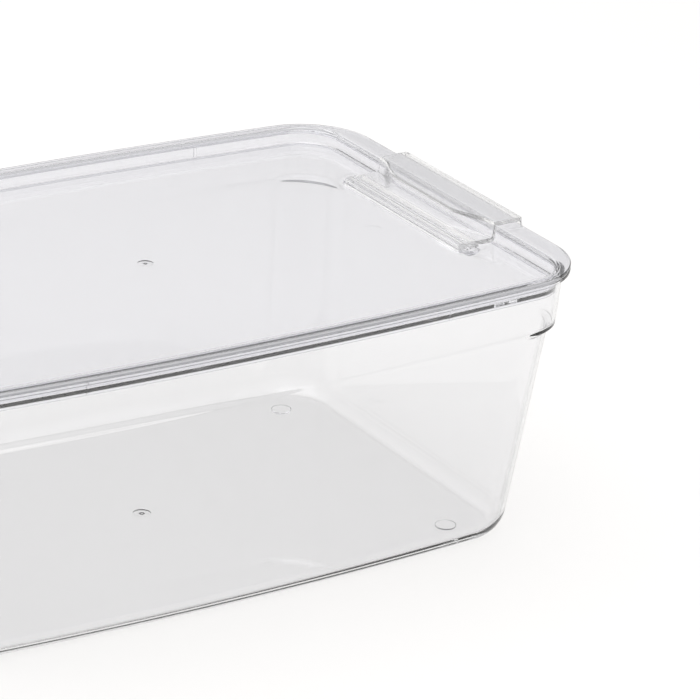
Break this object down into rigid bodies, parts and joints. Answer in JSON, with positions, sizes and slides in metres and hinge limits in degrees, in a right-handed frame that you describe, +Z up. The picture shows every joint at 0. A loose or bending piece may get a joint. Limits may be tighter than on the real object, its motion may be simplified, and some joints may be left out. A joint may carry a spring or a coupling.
{
  "type": "lidded fridge storage bin",
  "caption": "Clear rectangular fridge bin: a tapered tub with rounded corners, a lift-off lid with a recessed top, and a hinged clip latch at each end.",
  "frame": {"origin": "on the plane the bin stands on, under the middle of the bin", "axes": "+X along the bin's length from one latch to the other, +Y across the bin, +Z up"},
  "size_m": [0.3252, 0.2274, 0.1295],
  "materials": {
    "clear_tub": "polished clear plastic",
    "clear_lid": "polished clear plastic",
    "clear_latch": "polished clear plastic"
  },
  "bodies": {
    "tub": {"tub": "clear_tub"},
    "lid": {"lid": "clear_lid"},
    "latch_right": {"latch_right": "clear_latch"},
    "latch_left": {"latch_left": "clear_latch"}
  },
  "joints": [
    {"name": "lid_lift", "type": "slide", "parent": "tub", "child": "lid", "axis": [0, 0, 1], "range_m": [0, 0.06]},
    {"name": "latch_right_hinge", "type": "hinge", "parent": "lid", "child": "latch_right", "pos_m": [0.134, 0, 0.1188], "axis": [0, -1, 0], "range_deg": [0, 100]},
    {"name": "latch_left_hinge", "type": "hinge", "parent": "lid", "child": "latch_left", "pos_m": [-0.134, 0, 0.1188], "axis": [0, 1, 0], "range_deg": [0, 100]}
  ]
}
